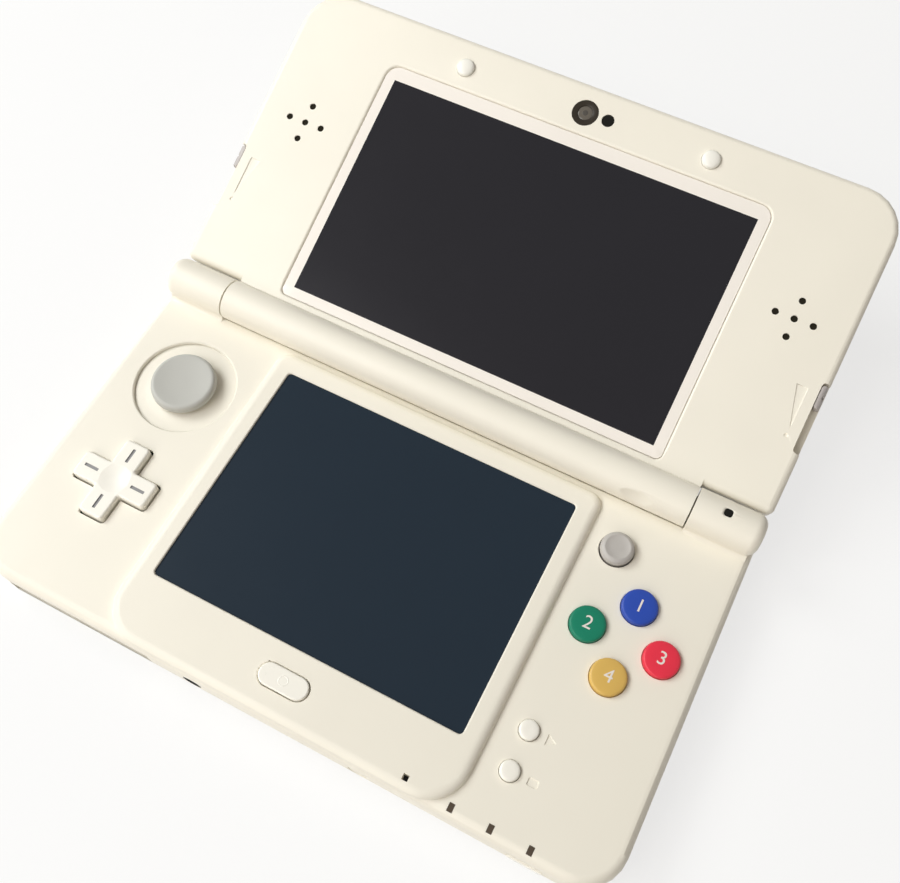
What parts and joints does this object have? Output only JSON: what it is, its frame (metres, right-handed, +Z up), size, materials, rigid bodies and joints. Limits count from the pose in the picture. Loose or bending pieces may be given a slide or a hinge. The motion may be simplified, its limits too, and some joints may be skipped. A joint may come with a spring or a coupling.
{
  "type": "clamshell handheld game console",
  "caption": "Hinged clamshell handheld game console standing open, with two screens, circle pad, direction pad, face buttons, stick and edge sliders.",
  "frame": {"origin": "middle of the base's resting face", "axes": "+X to the right, +Y towards the hinge, +Z up from the resting face"},
  "size_m": [0.142, 0.1498, 0.0403],
  "materials": {
    "ivory_shell": "satin",
    "white_key": "gloss",
    "touch_glass": "gloss",
    "screen_lens": "gloss",
    "pad_rubber": "matte",
    "silicone": "matte",
    "blue_key": "satin",
    "green_key": "satin",
    "red_key": "satin",
    "ochre_key": "satin",
    "dark_plastic": "satin",
    "battery_can": "satin",
    "circuit_board": "satin",
    "slider_knob": "satin",
    "steel": "brushed"
  },
  "bodies": {
    "base": {"bottom_cover_plate": "ivory_shell", "bottom_housing": "ivory_shell", "top_shell": "ivory_shell", "touch_panel": "touch_glass", "lower_display": "dark_plastic", "main_board": "circuit_board", "battery": "battery_can", "game_card_slot": "dark_plastic", "audio_jack": "dark_plastic", "charging_port": "dark_plastic", "infrared_window": "dark_plastic", "memory_card": "dark_plastic", "microphone": "dark_plastic", "status_lights": "dark_plastic", "notification_light": "dark_plastic", "control_mats": "silicone", "circle_pad_base": "dark_plastic", "stick_sensor": "dark_plastic", "shoulder_pins": "steel", "shoulder_springs": "steel", "shoulder_switches": "dark_plastic", "hinge_cartridge": "steel", "hinge_bush": "steel", "housing_screws": "steel", "cover_screws": "steel"},
    "lid": {"lid_bezel": "ivory_shell", "lid_housing": "ivory_shell", "lid_cover_plate": "ivory_shell", "upper_lens": "screen_lens", "upper_display": "dark_plastic", "speakers": "dark_plastic", "inner_camera": "dark_plastic", "infrared_lamp": "dark_plastic", "outer_cameras": "dark_plastic", "lid_bumpers": "white_key", "lid_screws": "steel", "slider_boards": "circuit_board", "display_ribbon": "circuit_board"},
    "top_button": {"top_button": "blue_key"},
    "left_button": {"left_button": "green_key"},
    "right_button": {"right_button": "red_key"},
    "bottom_button": {"bottom_button": "ochre_key"},
    "start_button": {"start_button": "white_key"},
    "select_button": {"select_button": "white_key"},
    "home_button": {"home_button": "white_key"},
    "power_button": {"power_button": "white_key"},
    "pad_carriage": {"pad_carriage": "dark_plastic"},
    "circle_pad": {"circle_pad": "pad_rubber"},
    "cross_pivot": {"cross_pivot": "steel"},
    "direction_pad": {"direction_pad": "white_key"},
    "stick_gimbal": {"stick_gimbal": "steel"},
    "control_stick": {"control_stick": "pad_rubber"},
    "left_shoulder_button": {"left_shoulder_button": "ivory_shell"},
    "right_shoulder_button": {"right_shoulder_button": "ivory_shell"},
    "left_trigger": {"left_trigger": "ivory_shell"},
    "right_trigger": {"right_trigger": "ivory_shell"},
    "volume_slider": {"volume_slider": "slider_knob"},
    "depth_slider": {"depth_slider": "slider_knob"},
    "stylus": {"stylus": "ivory_shell"}
  },
  "joints": [
    {"name": "lid_hinge", "type": "hinge", "parent": "base", "child": "lid", "pos_m": [0, 0.0358, 0.0136], "axis": [1, 0, 0], "range_deg": [0, 159.1]},
    {"name": "top_button_press", "type": "slide", "parent": "base", "child": "top_button", "axis": [0, 0, -1], "range_m": [0, 0.0007], "stiffness_N_per_m": 300, "springref_m": -0.0006},
    {"name": "left_button_press", "type": "slide", "parent": "base", "child": "left_button", "axis": [0, 0, -1], "range_m": [0, 0.0007], "stiffness_N_per_m": 300, "springref_m": -0.0006},
    {"name": "right_button_press", "type": "slide", "parent": "base", "child": "right_button", "axis": [0, 0, -1], "range_m": [0, 0.0007], "stiffness_N_per_m": 300, "springref_m": -0.0006},
    {"name": "bottom_button_press", "type": "slide", "parent": "base", "child": "bottom_button", "axis": [0, 0, -1], "range_m": [0, 0.0007], "stiffness_N_per_m": 300, "springref_m": -0.0006},
    {"name": "start_button_press", "type": "slide", "parent": "base", "child": "start_button", "axis": [0, 0, -1], "range_m": [0, 0.0007], "stiffness_N_per_m": 300, "springref_m": -0.0006},
    {"name": "select_button_press", "type": "slide", "parent": "base", "child": "select_button", "axis": [0, 0, -1], "range_m": [0, 0.0007], "stiffness_N_per_m": 300, "springref_m": -0.0006},
    {"name": "home_button_press", "type": "slide", "parent": "base", "child": "home_button", "axis": [0, 0, -1], "range_m": [0, 0.0006], "stiffness_N_per_m": 300, "springref_m": -0.0006},
    {"name": "power_button_press", "type": "slide", "parent": "base", "child": "power_button", "axis": [0, 1, 0], "range_m": [0, 0.0004], "stiffness_N_per_m": 300, "springref_m": -0.0006},
    {"name": "pad_fore_aft", "type": "slide", "parent": "base", "child": "pad_carriage", "axis": [0, 1, 0], "range_m": [-0.0024, 0.0024], "stiffness_N_per_m": 120},
    {"name": "pad_sideways", "type": "slide", "parent": "pad_carriage", "child": "circle_pad", "axis": [1, 0, 0], "range_m": [-0.0024, 0.0024], "stiffness_N_per_m": 120},
    {"name": "cross_rock_fore_aft", "type": "hinge", "parent": "base", "child": "cross_pivot", "pos_m": [-0.0538, -0.0127, 0.0084], "axis": [1, 0, 0], "range_deg": [-4, 4], "stiffness_Nm_per_rad": 0.06},
    {"name": "cross_rock_sideways", "type": "hinge", "parent": "cross_pivot", "child": "direction_pad", "pos_m": [-0.0538, -0.0127, 0.0084], "axis": [0, 1, 0], "range_deg": [-4, 4], "stiffness_Nm_per_rad": 0.06},
    {"name": "stick_tilt_fore_aft", "type": "hinge", "parent": "base", "child": "stick_gimbal", "pos_m": [0.0458, 0.0213, 0.0085], "axis": [1, 0, 0], "range_deg": [-2.5, 2.5], "stiffness_Nm_per_rad": 0.05},
    {"name": "stick_tilt_sideways", "type": "hinge", "parent": "stick_gimbal", "child": "control_stick", "pos_m": [0.0458, 0.0213, 0.0085], "axis": [0, 1, 0], "range_deg": [-2.5, 2.5], "stiffness_Nm_per_rad": 0.05},
    {"name": "left_shoulder_press", "type": "hinge", "parent": "base", "child": "left_shoulder_button", "pos_m": [-0.0509, 0.0366, 0.005], "axis": [0, 0, 1], "range_deg": [0, 3.2], "stiffness_Nm_per_rad": 0.1, "springref_deg": -5.73},
    {"name": "left_trigger_press", "type": "hinge", "parent": "base", "child": "left_trigger", "pos_m": [-0.0389, 0.0366, 0.005], "axis": [0, 0, 1], "range_deg": [0, 4.5], "stiffness_Nm_per_rad": 0.1, "springref_deg": -5.73},
    {"name": "right_shoulder_press", "type": "hinge", "parent": "base", "child": "right_shoulder_button", "pos_m": [0.0509, 0.0366, 0.005], "axis": [0, 0, -1], "range_deg": [0, 3.2], "stiffness_Nm_per_rad": 0.1, "springref_deg": -5.73},
    {"name": "right_trigger_press", "type": "hinge", "parent": "base", "child": "right_trigger", "pos_m": [0.0389, 0.0366, 0.005], "axis": [0, 0, -1], "range_deg": [0, 4.5], "stiffness_Nm_per_rad": 0.1, "springref_deg": -5.73},
    {"name": "volume_slide", "type": "slide", "parent": "lid", "child": "volume_slider", "axis": [0, -0.9342, -0.3567], "range_m": [0, 0.0099]},
    {"name": "depth_slide", "type": "slide", "parent": "lid", "child": "depth_slider", "axis": [0, -0.9342, -0.3567], "range_m": [0, 0.0099]},
    {"name": "stylus_draw", "type": "slide", "parent": "base", "child": "stylus", "axis": [0, -1, 0], "range_m": [0, 0.074]}
  ]
}
